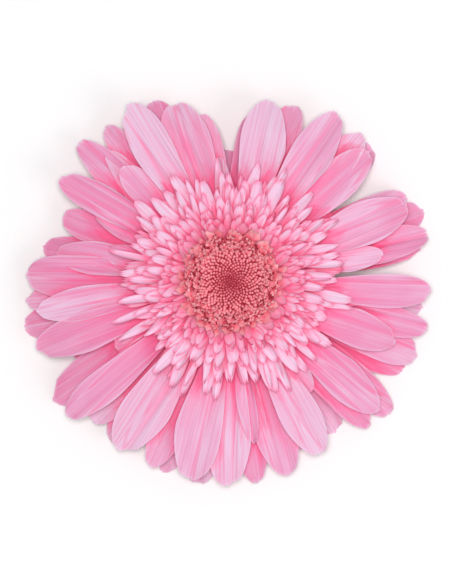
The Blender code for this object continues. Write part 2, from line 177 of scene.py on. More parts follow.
# Some of the innermost short florets are broad and blunt, like spoons, and a last row lies inside them.
SPOON_REACH = 17.9
SPOON_SHARE = 0.45
SPOON_ROW = Row(18, 16.5, 0.5, 2.6, TRANS_CORE_BASE + 3.6, TRANS_CORE_BASE + 6.0, 0.3, 0.2, 10, 15)

# Disc florets: rings of open ones (count, radius, size), then closed buds in a golden spiral.
OPEN_RINGS = ((28, 12.7, 3.2), (31, 11.8, 3.1), (34, 10.9, 2.8), (37, 10.0, 2.5), (37, 9.2, 2.0))
OPEN_FLORET_SIDES = 10
STYLE_SHARE = 0.4  # how many open florets show a style
STYLE_WIDTH = 0.5
STYLE_SIDES = 6
BUD_COUNT = 470
BUD_REACH = 9.2
BUD_CROWDING = 0.56  # power of the spiral: 0.5 spaces the buds evenly, more crowds them in the middle
BUD_SIDES = 7
DISC_SHARES = (1, 0.8, 0.6, 0.4, 0.2)  # where the disc's profile has points, as shares of its radius
DISC_SEED = 31
# The tube of an open floret: shares of its length, shares of half its size, and shades from 0 in the
# throat to 1 on the lobes.
TUBE_PROFILE = ((0.0, 0.4, 0.1), (0.6, 0.44, 0.3), (0.95, 0.55, 0.7), (0.97, 0.45, 0.5), (0.75, 0.3, 0.0))
THROAT = 0.7  # where the tube's inside ends, as a share of its length
# A bud: shares of its length and of its half width.
BUD_PROFILE = ((0.0, 0.6), (0.35, 0.95), (0.65, 1.0), (0.85, 0.78), (0.96, 0.4))

# The involucre's cup as (radius, height) points, and its rows of bracts: how many, where their roots and
# tips lie, and how far a row is turned, in bracts.
CUP_DEPTH = CUP_TOP - CUP_BASE
CUP_PROFILE = (
    (STEM_RADIUS + 0.8, CUP_BASE),
    (CUP_RADIUS * 0.62, CUP_BASE + CUP_DEPTH * 0.18),
    (CUP_RADIUS * 0.86, CUP_BASE + CUP_DEPTH * 0.45),
    (CUP_RADIUS * 0.97, CUP_BASE + CUP_DEPTH * 0.7),
    (CUP_RADIUS, CUP_TOP - 0.8),
    (CUP_RADIUS - 0.7, CUP_TOP),
)
BractRow = namedtuple("BractRow", "count root_height tip_height tip_radius width offset")
BRACT_ROWS = (
    BractRow(12, CUP_BASE + 0.6, CUP_BASE + 5.2, 13.6, 3.6, 0.0),
    BractRow(15, CUP_BASE + 2.4, CUP_BASE + 7.0, 16.2, 3.4, 0.5),
)
BRACT_STEP_DOWN = 1.0  # how much lower the rows in the gaps lie
BRACT_STANDOFF = 0.3  # between a bract's middle surface and the cup
BRACT_FREE = 0.45  # where along its length a bract leaves the cup
BRACT_KEEL = 0.25
BRACT_SEED = 5
STEM_SEED = 5
HAIRS_PER_BRACT = 26
STEM_HAIRS = 260
HAIR_WIDTH = 0.09
HAIR_SHADE = 1.5  # past the end of the greens' colour ramps, at the tone of the hairs
RIB_DEPTH = 0.12  # of the ribs down the cup and the stem
CORE_RIB_DEPTH = 0.3

# Painted shade: which ways a point of a petal looks for the sky, and over what distance, in millimetres.
SKY_WAYS = [Vector((0, 0, 1))]
SKY_WAYS += [Matrix.Rotation(math.radians(60 * k), 3, "Z") @ Vector((0.7, 0, 0.7)) for k in range(6)]
COVER_START = 0.1
COVER_REACH = 7.0

# Colours. Stops run from a piece's root to its tip. A petal has pale and deep parts, an underside and an
# edge colour, which is painted light: a painted highlight on the long florets and painted shade on the ruff.
# Edge_share is how strongly the edge shows, and contrast how strongly the lines and the painted shade do.
PAINTED_SHADE_PINK = (0.97, 0.16, 0.36)  # painted shade: a saturated pink that stands for light coming through the petals into their shade
# deeper painted shade, where petals hide most of the sky
DEEP_PAINTED_SHADE_PINK = (0.98, 0.09, 0.24)
# painted shade on the blades' thin side walls, which draws each petal's outline as a crimson line
PAINTED_RIM_SHADE = (0.97, 0.12, 0.30)
TINT_SHIFT = 60.0  # how far apart in a pattern petals of unlike tint are
LINE_SHARPNESS = 36.0
Petal = namedtuple("Petal", "stops pale deep under edge edge_share contrast")
RAY_PETAL = Petal(
    stops=(
        (0.0, (0.88, 0.06, 0.20)),
        (0.28, (0.87, 0.13, 0.31)),
        (0.46, (0.85, 0.33, 0.54)),
        (0.75, (0.83, 0.37, 0.59)),
        (1.0, (0.83, 0.35, 0.56)),
    ),
    pale=(0.87, 0.66, 0.84),
    deep=(0.84, 0.18, 0.38),
    under=(0.94, 0.26, 0.46),
    # painted highlight: a pale line along the edges and the tip, as where a rim catches the light
    edge=(0.87, 0.66, 0.84),
    edge_share=0.45,
    contrast=1.0,
)
RUFF_PETAL = Petal(
    stops=(
        (0.0, (0.50, 0.01, 0.04)),
        (0.18, (0.74, 0.03, 0.09)),
        (0.32, (0.91, 0.12, 0.22)),
        (0.46, (0.89, 0.26, 0.41)),
        (0.60, (0.87, 0.52, 0.70)),
        (1.0, (0.85, 0.60, 0.78)),
    ),
    pale=(0.87, 0.66, 0.83),
    deep=(0.90, 0.20, 0.42),
    under=(0.97, 0.12, 0.30),
    # painted shade: deep pink along the edges and the tip, where they curl away from the light
    edge=PAINTED_SHADE_PINK,
    edge_share=0.6,
    contrast=0.7,
)
# The disc's darkest stop colours its floor and the florets' feet and throats: partly the disc's own crimson,
# partly painted shade in the gaps between the florets and in their throats.
DISC_STOPS = ((0.0, (0.31, 0.008, 0.025)), (0.4, (0.90, 0.15, 0.22)), (1.0, (1.0, 0.47, 0.52)))
HAIR_TONE = (0.72, 0.76, 0.58)
BRACT_STOPS = ((0.0, (0.10, 0.16, 0.03)), (0.8, (0.24, 0.36, 0.10)), (1.0, HAIR_TONE))
STEM_STOPS = ((0.0, (0.24, 0.36, 0.10)), (0.5, (0.30, 0.42, 0.14)), (1.0, HAIR_TONE))
FLOOR_TONES = (0.97, 0.97, 0.97), (0.985, 0.985, 0.985)

# Light and camera, in metres and watts. Lights: name, place, size and power.
LIGHTS = (
    ("overhead_softbox", Vector((-0.01, 0.03, 0.95)), 0.22, 5.7),
    ("side_light", Vector((0.45, -0.3, 0.6)), 0.4, 1.1),
)
WORLD_STRENGTH = 0.31
FLOOR_HALF = 1.5  # half the floor's side
CAMERA_HEIGHT = 0.8
PETAL_HEIGHT = 0.01  # where the picture's width is measured
VIEW_WIDTH = 0.1225
IMAGE_SIZE = (452, 584)
SENSOR = 36.0
CLIP_START = 0.01

Floret = namedtuple(
    "Floret",
    "azimuth lean root reach root_height tip_height arch width claw claw_end blunt roll cup thickness",
)
# What a blade has beyond its solid's form. Tint goes from -1, deep, to 1, pale. Waves is how many lengthwise
# waves fit in RAY_WIDTH, depth their height and phase where they begin. A crease lies at a place across the
# blade, and keel is its height. Ripple is how far the sides wave, and tip_curl how far the tip turns up.
# Point and notch are how far the sides and two notches fall short of the tip, as shares of the length.
# Tip_power is the power of the tip's curve, bias from -1 to 1 makes it lopsided, and sweep is how far it
# swings sideways.
Look = namedtuple(
    "Look", "tint waves depth phase crease keel ripple tip_curl point notch tip_power bias sweep"
)


def clock_point(azimuth, radius, height):
    """The point at a clock azimuth and a radius from the bloom's axis, in millimetres."""
    turn = math.radians(azimuth)
    return Vector((radius * math.sin(turn), radius * math.cos(turn), height))


def smooth(share):
    """Rises from 0 to 1 with level ends."""
    share = min(max(share, 0.0), 1.0)
    return share * share * (3 - 2 * share)


def bump_at(value, centre, width):
    """A bell of height 1 round a centre."""
    return math.exp(-(((value - centre) / width) ** 2))


# Layout of the florets, as in the solids


def ray_layers():
    """The long outer florets, one list for each layer."""
    draw = random.Random(RAY_SEED)
    layers = []
    for layer in RAY_LAYERS:
        florets = []
        for index, (azimuth, reach, width) in enumerate(layer.rays):
            lift = layer.spread if index % 2 else -layer.spread
            lean = draw.uniform(-4, 4)
            florets.append(
                Floret(
                    azimuth=azimuth,
                    lean=SWEPT_RAYS.get(azimuth, lean),
                    root=RAY_CORE_RADIUS - ROOT_SINK,
                    reach=reach * RAY_REACH,
                    root_height=layer.root_height,
                    tip_height=layer.tip_height + lift * draw.uniform(0.6, 1.2),
                    arch=layer.arch * draw.uniform(0.7, 1.3),
                    width=width * RAY_WIDTH,
                    claw=RAY_CLAW,
                    claw_end=layer.claw_end,
                    blunt=POINTED_END if azimuth in POINTED_RAYS else ROUND_END,
                    roll=draw.uniform(-1, 1) * layer.roll_spread,
                    cup=draw.uniform(0.4, 1.0),
                    thickness=RAY_THICKNESS,
                )
            )
        layers.append(florets)
    return layers


def row_of_florets(row, root, thickness):
    """One ring of florets at an even pitch, each a little out of line."""
    draw = random.Random(row.seed)
    pitch = 360 / row.count
    return [
        Floret(
            azimuth=(index + draw.uniform(-0.32, 0.32)) * pitch,
            lean=draw.uniform(-7, 7),
            root=root,
            reach=row.reach + draw.uniform(-1, 1) * row.reach_spread,
            root_height=row.root_height,
            tip_height=row.tip_height + draw.uniform(-1, 1) * row.height_spread,
            arch=row.arch * draw.uniform(0.7, 1.3),
            width=row.width * draw.uniform(0.85, 1.15),
            claw=TRANS_CLAW,
            claw_end=TRANS_CLAW_END,
            blunt=TRANS_END,
            roll=draw.uniform(-1, 1) * row.roll_spread,
            cup=draw.uniform(0.2, 0.7),
            thickness=thickness,
        )
        for index in range(row.count)
    ]


# Form of one floret


def half_width(floret, along, tip_power):
    """Half the blade's width: a narrow claw, widest past the middle, and a tip that closes in."""
    half = 0.5 * floret.width * (floret.claw + (1 - floret.claw) * smooth(along / floret.claw_end))
    past = max(0.0, (along - TIP_START) / (1 - TIP_START))
    return half * math.sqrt(max(1 - past**tip_power, floret.blunt**2))


def centre_line(floret, along):
    """The middle of the blade: it rises over an arch, falls to the tip, and swings sideways."""
    azimuth = floret.azimuth - floret.lean * (1 - along) ** 2
    radius = floret.root + (floret.reach - floret.root) * along
    fall = (floret.tip_height - floret.root_height) * max(along, 0.0) ** 1.5
    rise = floret.arch * 4 * along * (1 - along)
    return clock_point(azimuth, radius, floret.root_height + rise + fall)


def ray_look(draw, tint, tip_power):
    """What a long floret has beyond its solid: lengthwise waves, a crease, a ripple and its tip's form."""
    return Look(
        tint=tint,
        waves=draw.uniform(2.2, 5.0),
        depth=draw.uniform(0.04, 0.16),
        phase=draw.uniform(0, 2 * math.pi),
        crease=draw.uniform(-0.4, 0.4),
        keel=draw.choice((0.0, 0.0, 0.4, -0.5, -0.8)),
        ripple=draw.uniform(0.15, 0.6),
        tip_curl=draw.uniform(-0.8, 0.9),
        point=draw.uniform(0.012, 0.05),
        notch=draw.uniform(0.0, 0.014),
        tip_power=tip_power,
        bias=draw.uniform(-1, 1),
        sweep=draw.uniform(-0.7, 0.7),
    )


def ruff_look(draw, azimuth):
    """What a short inner floret has beyond its solid: it lies flat and its tip is often toothed.

    The florets are palest round clock azimuth 180.
    """
    pale_side = (1 - math.cos(math.radians(azimuth))) / 2
    return Look(
        tint=0.55 * draw.random() + 0.45 * pale_side,
        waves=draw.uniform(3.0, 7.0),
        depth=draw.uniform(0.06, 0.16),
        phase=draw.uniform(0, 2 * math.pi),
        crease=draw.uniform(-0.1, 0.1),
        keel=draw.uniform(-0.35, 0.3),
        ripple=draw.uniform(0.1, 0.35),
        tip_curl=draw.uniform(-0.2, 0.5),
        point=draw.uniform(-0.01, 0.05),
        notch=draw.choice((0.0, 0.03, 0.07, 0.11)),
        tip_power=draw.uniform(1.3, 3.2),
        bias=draw.uniform(-1, 1),
        sweep=draw.uniform(-0.5, 0.5),
    )


def corrugation(look, lateral, along):
    """The lengthwise waves and the crease at a place across the blade, each from -1 to 1."""
    fade = smooth(along * 4) * (1 - 0.5 * smooth((along - 0.6) / 0.4))
    wave = math.sin(look.phase + look.waves * math.pi * lateral + 0.8 * along)
    crease = max(0.0, 1 - abs(lateral - look.crease) / 0.3)
    return wave * fade, crease * fade


def relief(floret, look, along, across, lateral):
    """How far the blade's surface lies above its flat form: cupped, waved, creased and rippled."""
    wave, crease = corrugation(look, lateral, along)
    rise = floret.cup * (across * across - 0.4) * smooth(along * 3)
    rise += look.depth * wave + look.keel * crease
    side_wave = math.sin(look.phase + 9 * along + 2 * across)
    rise += look.ripple * side_wave * abs(across) ** 3 * smooth(along * 2)
    return rise + look.tip_curl * max(0.0, along - 0.75) ** 2 * 16


def set_back(look, across):
    """How far the blade falls short of its tip at a place across it: round, with two notches."""
    return look.point * (across - 0.4 * look.bias) ** 2 + look.notch * bump_at(abs(across), 0.36, 0.14)


def blade_rows(floret, look, grid):
    """Rows of (point, normal, along, lateral, ridge, across) on the blade's middle surface, root to tip.

    Lateral is how far a point lies from the blade's middle line, as a share of half RAY_WIDTH. Ridge is
    below 0 in a groove and above 0 on a crest, and across runs from -1 to 1 between the blade's sides.
    """
    row_count, column_count = grid
    rows = []
    for i in range(row_count):
        row = []
        for j in range(column_count):
            across = 2 * j / (column_count - 1) - 1
            along = max(0.0, i / (row_count - 1) * (1 - set_back(look, across)))
            middle = centre_line(floret, along)
            tangent = centre_line(floret, along + 0.01) - centre_line(floret, along - 0.01)
            tangent.normalize()
            side = tangent.cross(Vector((0, 0, 1))).normalized()
            side = Matrix.Rotation(math.radians(floret.roll * along), 3, tangent) @ side
            normal = side.cross(tangent)
            power = look.tip_power * (1 + math.copysign(TIP_BIAS * look.bias, across * look.bias))
            reach = across * half_width(floret, along, power)
            lateral = reach / (RAY_WIDTH / 2)
            point = middle + side * (reach + look.sweep * smooth((along - 0.4) / 0.6))
            point += normal * relief(floret, look, along, across, lateral)
            point.z = max(point.z, floret.thickness / 2 + FLOOR_CLEARANCE)
            wave, crease = corrugation(look, lateral, along)
            ridge = wave * min(1.5, look.depth / FULL_DEPTH)
            ridge += math.copysign(crease, look.keel) * min(1.0, abs(look.keel))
            row.append((point, normal, along, lateral, ridge, across))
        rows.append(row)
    return rows


# Meshes


class Surface:
    """Points and faces of one piece, with the values that its material reads at each point."""

    VALUES = ("along", "lateral", "tint", "ridge", "under", "edge")

    def __init__(self):
        self.points = []
        self.faces = []
        self.values = {name: [] for name in self.VALUES}

    def point(self, place, along=0.0, lateral=0.0, tint=0.0, ridge=0.0, under=0.0, edge=0.0):
        """Adds a point, in millimetres from the foot of the bloom's axis, and returns its number."""
        self.points.append((place + AXIS) * MM)
        for name, value in zip(self.VALUES, (along, lateral, tint, ridge, under, edge)):
            self.values[name].append(value)
        return len(self.points) - 1

    def ring_band(self, low, high):
        """Joins two closed rings of as many points."""
        for k in range(len(low)):
            self.faces.append((low[k - 1], low[k], high[k], high[k - 1]))

    def cap(self, ring, peak):
        """Closes a ring with a fan of triangles to a point."""
        for k in range(len(ring)):
            self.faces.append((ring[k - 1], ring[k], peak))

    def closed(self, rings, bottom, top):
        """Joins rings from bottom to top, and closes both ends with a fan to a point."""
        for low, high in zip(rings, rings[1:]):
            self.ring_band(low, high)
        self.cap(rings[0][::-1], bottom)
        self.cap(rings[-1], top)

    def blade(self, rows, thickness, tint, tone=1.0):
        """A closed thin blade from rows of (point, normal, along, lateral, ridge, across), as blade_rows
        gives them. It thins towards its sides, and a tone below 1 keeps its tip nearer the root's colour.
        """
        upper, lower = [], []
        for row in rows:
            above, below = [], []
            for place, normal, along, lateral, ridge, across in row:
                half = normal * (thickness / 2) * (1 - SIDE_THINNING * across**4)
                edge = 1.0 if row is rows[-1] else max(0.0, abs(across) - EDGE_START) / (1 - EDGE_START)
                above.append(self.point(place + half, along * tone, lateral, tint, ridge, 0, edge))
                below.append(self.point(place - half, along * tone, lateral, tint, ridge, 1, edge))
            upper.append(above)
            lower.append(below)
        for i in range(len(rows) - 1):
            for j in range(len(rows[0]) - 1):
                self.faces.append((upper[i][j], upper[i][j + 1], upper[i + 1][j + 1], upper[i + 1][j]))
                self.faces.append((lower[i][j], lower[i + 1][j], lower[i + 1][j + 1], lower[i][j + 1]))
        last_row, last_column = len(rows) - 1, len(rows[0]) - 1
        rim = [(i, 0) for i in range(last_row)]
        rim += [(last_row, j) for j in range(last_column)]
        rim += [(i, last_column) for i in range(last_row, 0, -1)]
        rim += [(0, j) for j in range(last_column, 0, -1)]
        for (i, j), (k, m) in zip(rim, rim[1:] + rim[:1]):
            self.faces.append((upper[i][j], upper[k][m], lower[k][m], lower[i][j]))

    def turned(self, profile, sides, ribs=0, rib_depth=0.0, tint=0.0):
        """A closed solid turned round the bloom's axis from (radius, height) points, bottom to top. Its
        side can have lengthwise ribs.
        """
        rings = []
        for radius, height in profile:
            ring = []
            for k in range(sides):
                azimuth = 360 * k / sides
                out = radius + rib_depth * math.cos(math.radians(ribs * azimuth))
                ring.append(self.point(clock_point(azimuth, out, height), tint=tint))
            rings.append(ring[::-1])
        bottom = self.point(Vector((0, 0, profile[0][1])), tint=tint)
        top = self.point(Vector((0, 0, profile[-1][1])), tint=tint)
        self.closed(rings, bottom, top)

    def make(self, name, material, slot, *nodes):
        """The finished piece: it rides on the bloom's body and stands for its solids."""
        mesh = bpy.data.meshes.new(name)
        mesh.from_pydata(self.points, [], self.faces)
        for key, values in self.values.items():
            mesh.attributes.new(key, "FLOAT", "POINT").data.foreach_set("value", values)
        mesh.materials.append(material)
        mesh.shade_smooth()
        mesh.set_sharp_from_angle(angle=math.radians(SHARP_ANGLE))
        piece = bpy.data.objects.new(name, mesh)
        bpy.context.scene.collection.objects.link(piece)
        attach(piece, "root")
        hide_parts(*nodes)
        return piece


def note_cover(surfaces):
    """Gives each point of the petals the value cover: the share of the sky that petals close by hide, from
    which the material paints shade.
    """
    points, faces = [], []
    for surface in surfaces:
        first = len(points)
        points += surface.points
        faces += [[first + k for k in face] for face in surface.faces]
    petals = BVHTree.FromPolygons(points, faces)
    for surface in surfaces:
        surface.values["cover"] = [
            1.0 if under else hidden_share(petals, place)
            for place, under in zip(surface.points, surface.values["under"])
        ]


def hidden_share(petals, place):
    """The share of the ways to the sky from a place, in metres, on which petals lie."""
    hidden = 0
    for way in SKY_WAYS:
        if petals.ray_cast(place + way * COVER_START * MM, way, COVER_REACH * MM)[0]:
            hidden += 1
    return hidden / len(SKY_WAYS)


# Materials


class Nodes:
    """Short ways to add nodes to a material. Each takes numbers or sockets, and gives a socket."""

    def __init__(self, name, roughness, gloss=0.2):
        self.material = bpy.data.materials.new(name)
        self.material.use_nodes = True
        self.tree = self.material.node_tree
        self.shader = self.tree.nodes["Principled BSDF"]
        self.shader.inputs["Roughness"].default_value = roughness
        self.shader.inputs["Specular IOR Level"].default_value = gloss

    def link(self, value, socket):
        """Leads another node's socket, or a constant, into a socket."""
        if isinstance(value, bpy.types.NodeSocket):
            self.tree.links.new(value, socket)
        else:
            socket.default_value = value

    def value(self, name):
        """A value stored at the mesh's points."""
        node = self.tree.nodes.new("ShaderNodeAttribute")
        node.attribute_name = name
        return node.outputs["Fac"]

    def math(self, operation, a, b=0.0, clamp=False):
        node = self.tree.nodes.new("ShaderNodeMath")
        node.operation = operation
        node.use_clamp = clamp
        self.link(a, node.inputs[0])
        self.link(b, node.inputs[1])
        return node.outputs[0]

    def multiply(self, a, b):
        return self.math("MULTIPLY", a, b)

    def above(self, value, least, gain):
        """How far a value lies above a least one, times a gain, from 0 to 1."""
        over = self.math("SUBTRACT", value, least, clamp=True)
        return self.math("MULTIPLY", over, gain, clamp=True)

    def ramp(self, value, stops):
        """A colour ramp through (position, colour) stops."""
        node = self.tree.nodes.new("ShaderNodeValToRGB")
        elements = node.color_ramp.elements
        elements[0].position, elements[0].color = stops[0][0], (*stops[0][1], 1)
        elements[1].position, elements[1].color = stops[-1][0], (*stops[-1][1], 1)
        for position, colour in stops[1:-1]:
            elements.new(position).color = (*colour, 1)
        self.link(value, node.inputs["Fac"])
        return node.outputs["Color"]

    def mix(self, share, a, b):
        """A colour between two, by a share that counts from 0 to 1."""
        node = self.tree.nodes.new("ShaderNodeMix")
        node.data_type = "RGBA"
        self.link(share, node.inputs[0])
        self.link(a if isinstance(a, bpy.types.NodeSocket) else (*a, 1), node.inputs[6])
        self.link(b if isinstance(b, bpy.types.NodeSocket) else (*b, 1), node.inputs[7])
        return node.outputs[2]

    def noise(self, vector, scale, detail=2.0):
        node = self.tree.nodes.new("ShaderNodeTexNoise")
        node.inputs["Scale"].default_value = scale
        node.inputs["Detail"].default_value = detail
        self.link(vector, node.inputs["Vector"])
        return node.outputs["Fac"]

    def vector(self, x, y, z):
        node = self.tree.nodes.new("ShaderNodeCombineXYZ")
        for socket, value in zip(node.inputs, (x, y, z)):
            self.link(value, socket)
        return node.outputs[0]

    def place(self):
        """Where a point is on the object."""
        return self.tree.nodes.new("ShaderNodeTexCoord").outputs["Object"]

    def bump(self, height, strength, distance):
        node = self.tree.nodes.new("ShaderNodeBump")
        node.inputs["Strength"].default_value = strength
        node.inputs["Distance"].default_value = distance
        self.link(height, node.inputs["Height"])
        self.link(node.outputs["Normal"], self.shader.inputs["Normal"])

    def finish(self, colour):
        """Gives the shader its colour, and returns the material."""
        self.link(colour, self.shader.inputs["Base Color"])
        return self.material


class PetalNodes(Nodes):
    """Patterns that run lengthwise over a petal, and differ from petal to petal by its tint."""

    def __init__(self, name):
        super().__init__(name, 0.6, gloss=0.05)
        self.along = self.value("along")
        self.lateral = self.value("lateral")
        self.tint = self.value("tint")
        self.shift = self.multiply(self.tint, TINT_SHIFT)

    def lengthwise(self, lateral_scale, along_scale, detail):
        """Noise drawn out along the petal."""
        x = self.multiply(self.lateral, lateral_scale)
        y = self.multiply(self.along, along_scale)
        return self.noise(self.vector(x, y, self.shift), 1.0, detail)

    def contour_lines(self, contours, level):
        """Thin lines wherever the contours' value crosses a level."""
        distance = self.math("ABSOLUTE", self.math("SUBTRACT", contours, level))
        return self.math("SUBTRACT", 1.0, self.multiply(distance, LINE_SHARPNESS), clamp=True)


def petal_material(name, petal):
    """A thin petal: a gradient from claw to tip, clouds and fine lines lengthwise, and painted light:
    highlights on the crests, painted fold lines, an edge that is a painted highlight on the long florets and
    painted shade on the ruff, painted shade in the grooves and on the rims, and a saturated pink painted
    shade where other petals hide the sky.
    """
    nodes = PetalNodes(name)
    along, tint = nodes.along, nodes.tint
    ridge, under, edge, cover = (nodes.value(key) for key in ("ridge", "under", "edge", "cover"))
    bands = nodes.lengthwise(3.0, 1.2, 1.0)
    striations = nodes.lengthwise(12.0, 1.3, 1.0)
    hairlines = nodes.lengthwise(24.0, 1.8, 0.0)
    clouds = nodes.lengthwise(1.0, 2.5, 2.0)
    contours = nodes.lengthwise(2.4, 0.5, 0.0)
    veins = nodes.above(striations, 0.5, 9.0)
    depth = nodes.above(nodes.multiply(tint, -1.0), 0.0, 1.0)
    groove = nodes.above(nodes.multiply(ridge, -1.0), 0.45, 1.4)
    off_root = nodes.above(along, 0.15, 6.0)
    # Painted shade: a mask of where petals close by hide the sky, away from the root, and a deeper one where
    # they hide most.
    shade = nodes.multiply(nodes.above(cover, 0.1, 2.2), off_root)
    deep_shade = nodes.multiply(nodes.above(cover, 0.4, 2.5), off_root)

    colour = nodes.ramp(along, petal.stops)
    paleness = nodes.multiply(tint, nodes.math("POWER", along, 0.7))
    for share, strength, tone in (
        (paleness, 0.8, petal.pale),
        (nodes.above(clouds, 0.46, 2.0), 1.0, petal.pale),
        (depth, 0.38, petal.deep),
        # painted highlight: paler on the crests of the lengthwise waves
        (nodes.above(ridge, 0.1, 1.0), 0.18, petal.pale),
        # painted shade: deep pink in the grooves and creases
        (groove, 0.36, PAINTED_SHADE_PINK),
        (nodes.above(bands, 0.55, 4.0), 0.08 * petal.contrast, petal.deep),
        (veins, 0.25 * petal.contrast, petal.deep),
        (nodes.above(hairlines, 0.5, 8.0), 0.20 * petal.contrast, petal.deep),
        # painted folds: two thin deep lines of painted shadow, and a pale line of painted highlight beside
        # one of them
        (nodes.contour_lines(contours, 0.50), 0.40 * petal.contrast, PAINTED_SHADE_PINK),
        (nodes.contour_lines(contours, 0.36), 0.40 * petal.contrast, PAINTED_SHADE_PINK),
        (nodes.contour_lines(contours, 0.53), 0.35, petal.pale),
        # the edge colour: a painted highlight on the long florets, painted shade on the ruff
        (edge, petal.edge_share, petal.edge),
        # painted shade where other petals hide the sky, deepest where they hide most
        (shade, 0.65 * petal.contrast, PAINTED_SHADE_PINK),
        (deep_shade, 0.6, DEEP_PAINTED_SHADE_PINK),
    ):
        colour = nodes.mix(nodes.multiply(share, strength), colour, tone)

    under_colour = nodes.mix(nodes.multiply(veins, 0.35), petal.under, petal.deep)
    colour = nodes.mix(nodes.multiply(under, 0.85), colour, under_colour)
    # The rim's faces run from the upper face, at 0, to the lower one, at 1.
    rim = nodes.multiply(nodes.multiply(under, nodes.math("SUBTRACT", 1.0, under)), 4.0)
    # Painted shade: the rim's faces take a deep pink, so each petal's outline reads as a crimson line.
    colour = nodes.mix(rim, colour, PAINTED_RIM_SHADE)
    height = nodes.math("ADD", nodes.multiply(striations, 0.8), nodes.multiply(hairlines, 0.4))
    nodes.bump(nodes.multiply(height, -1.0), 0.5, 0.0004)
    return nodes.finish(colour)


def plant_material(name, stops, roughness, scale):
    """A fleshy green or coral surface, with a mottled colour that follows each piece from root to tip."""
    nodes = Nodes(name, roughness)
    along, tint = nodes.value("along"), nodes.value("tint")
    grain = nodes.noise(nodes.place(), scale, 3.0)
    mottle = nodes.multiply(nodes.math("SUBTRACT", grain, 0.5), 0.5)
    level = nodes.math("ADD", along, mottle, clamp=True)
    root_tone = stops[0][1]
    colour = nodes.mix(nodes.multiply(tint, 0.8), nodes.ramp(level, stops), root_tone)
    nodes.bump(grain, 0.3, 0.0002)
    return nodes.finish(colour)


# Pieces


def ray_tint(azimuth, draw):
    """How pale a long floret is, from 1 down to -1 for the deepest."""
    if azimuth in PALE_RAYS:
        return draw.uniform(0.9, 1.0)
    if azimuth in DEEP_RAYS:
        return draw.uniform(-1.0, -0.6)
    return draw.uniform(-0.4, 0.6)


def ray_tip_power(azimuth, draw):
    """How blunt a long floret's tip is."""
    if azimuth in POINTED_RAYS:
        return POINTED_TIP
    return ROUND_TIP * draw.uniform(0.55, 1.0)


def ray_surfaces():
    """The long florets in three layers, with the short ones above them, by name."""
    draw = random.Random(RAY_LOOK_SEED)
    names = ("lower_rays", "middle_rays", "upper_rays", "short_rays")
    surfaces = {}
    for name, florets in zip(names, ray_layers()):
        surface = surfaces[name] = Surface()
        for floret in florets:
            tip_power = ray_tip_power(floret.azimuth, draw)
            look = ray_look(draw, ray_tint(floret.azimuth, draw), tip_power)
            if floret.azimuth in FOLDED_RAYS:
                look = look._replace(keel=-1.3, crease=0.0)
            if floret.azimuth in PLEATED_RAYS:
                look = look._replace(waves=draw.uniform(4, 6), depth=draw.uniform(0.16, 0.28))
            surface.blade(blade_rows(floret, look, RAY_GRID), floret.thickness, look.tint)
        if name == "middle_rays":
            add_ray_core(surface)
    return surfaces


def add_ray_core(surface):
    """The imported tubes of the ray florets, which close the bloom between its layers."""
    radius = RAY_CORE_RADIUS - CORE_INSET
    profile = ((radius, RAY_CORE_BASE), (radius, TRANS_CORE_BASE - NODE_GAP))
    surface.turned(profile, RAY_CORE_SIDES, ribs=36, rib_depth=CORE_RIB_DEPTH)


def ruff_rows():
    """The rows of short florets: each of the solids' rows, a row halfway to the next, and the spoons."""
    rows = []
    for outer, inner in zip(TRANS_ROWS, TRANS_ROWS[1:] + TRANS_ROWS[-1:]):
        rows.append(outer)
        halfway = [(a + b) / 2 for a, b in zip(outer, inner)]
        rows.append(Row(*halfway)._replace(seed=outer.seed + HALFWAY_SEED))
    return rows[:-1] + [SPOON_ROW]


def ruff_floret(floret, draw):
    """A short floret of the ruff, less even than in the solids, and what it has beyond its solid."""
    look = ruff_look(draw, floret.azimuth)
    floret = floret._replace(
        blunt=draw.uniform(0.15, 0.4),
        lean=draw.uniform(-20, 20),
        width=floret.width * draw.uniform(0.55, 1.2),
        tip_height=floret.tip_height + draw.uniform(-0.3, 0.6),
    )
    if floret.reach < SPOON_REACH and draw.random() < SPOON_SHARE:
        look = look._replace(tip_power=draw.uniform(3.0, 5.0), notch=0.0, tint=draw.uniform(0.2, 0.8))
        floret = floret._replace(blunt=0.4, width=draw.uniform(2.2, 3.2), cup=draw.uniform(0.3, 0.7))
    return floret, look


def ruff_surface():
    """The dense ruff of short inner florets."""
    draw = random.Random(RUFF_LOOK_SEED)
    surface = Surface()
    for row in ruff_rows():
        row = row._replace(
            count=round(row.count * RUFF_COUNT),
            width=row.width * RUFF_WIDTH,
            roll_spread=RUFF_ROLL,
            reach_spread=row.reach_spread * RUFF_SPREAD,
        )
        for floret in row_of_florets(row, TRANS_CORE_RADIUS - ROOT_SINK, TRANS_THICKNESS):
            floret, look = ruff_floret(floret, draw)
            tone = floret.reach / TRANS_ROWS[0].reach
            surface.blade(blade_rows(floret, look, TRANS_GRID), floret.thickness, look.tint, min(tone, 1.0))
    radius = TRANS_CORE_RADIUS - CORE_INSET
    profile = ((radius, TRANS_CORE_BASE), (radius, DISC_BASE - NODE_GAP))
    surface.turned(profile, TRANS_CORE_SIDES, ribs=30, rib_depth=CORE_RIB_DEPTH)
    return surface


def make_petals():
    """The long florets and the ruff, whose colours carry painted shade where they hide one another's sky."""
    rays, ruff = ray_surfaces(), ruff_surface()
    note_cover([*rays.values(), ruff])
    ray_petal = petal_material("ray_petal", RAY_PETAL)
    for name, surface in rays.items():
        surface.make(name, ray_petal, "ray_floret", "ray_florets")
    ruff.make("inner_florets", petal_material("inner_petal", RUFF_PETAL), "trans_floret", "trans_florets")


def disc_top(radius):
    """Height of the disc under its florets: highest at the edge, sunk in the middle."""
    return DISC_EDGE_TOP - DISC_SINK * (1 - smooth(radius / DISC_CORE_RADIUS))


